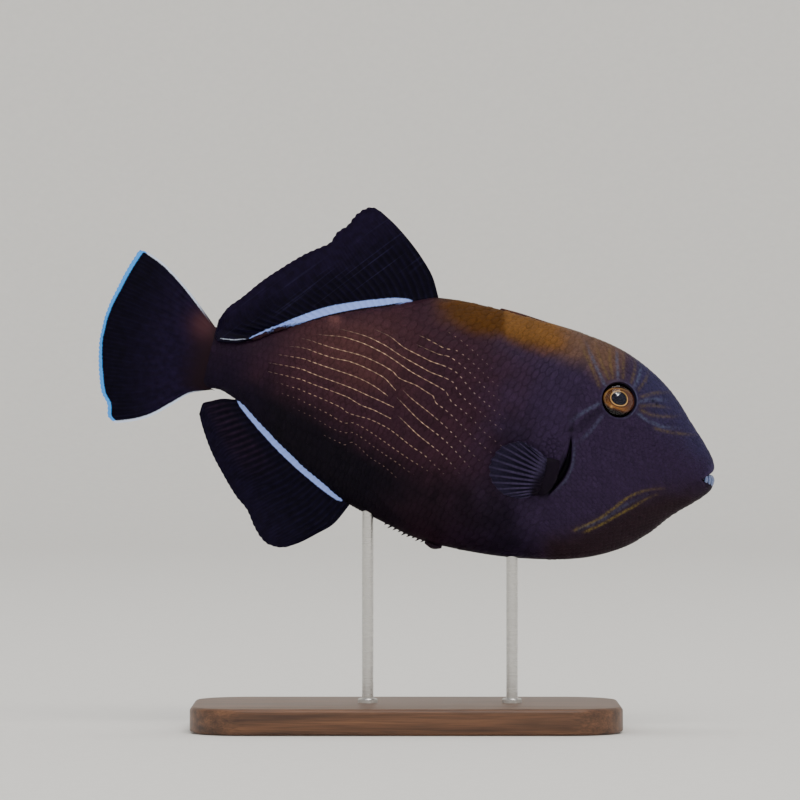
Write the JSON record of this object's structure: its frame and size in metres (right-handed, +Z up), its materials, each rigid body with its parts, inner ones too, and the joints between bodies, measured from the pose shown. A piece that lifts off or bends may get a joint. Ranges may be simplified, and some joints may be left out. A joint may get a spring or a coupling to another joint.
{
  "type": "indian triggerfish display model",
  "caption": "Life-size still model of a black-finned triggerfish swimming head-down, on a plain display stand.",
  "frame": {"origin": "middle of the whole model's box seen from above, on the plane that the stand rests on", "axes": "+X towards the head and along the longest side, +Y towards the fish's left and across its body, +Z up"},
  "size_m": [0.2158, 0.084, 0.1826],
  "materials": {
    "skin": "satin painted scales, dark purplish brown",
    "fins": "satin, near black with a violet sheen and pale blue edges",
    "eyes": "polished, copper iris and dark pupil",
    "stand_rods": "fine brushed",
    "stand_base": "satin lacquered dark walnut"
  },
  "bodies": {
    "root": {"head": "skin", "trunk": "skin", "tail_stalk": "skin", "first_dorsal_fin": "skin", "pelvic_spine": "skin", "soft_dorsal_fin": "fins", "anal_fin": "fins", "tail_fin": "fins", "pectoral_fin_right": "fins", "pectoral_fin_left": "fins", "eye_right": "eyes", "eye_left": "eyes", "stand_rod_front": "stand_rods", "stand_rod_rear": "stand_rods", "stand_base": "stand_base"}
  },
  "joints": []
}
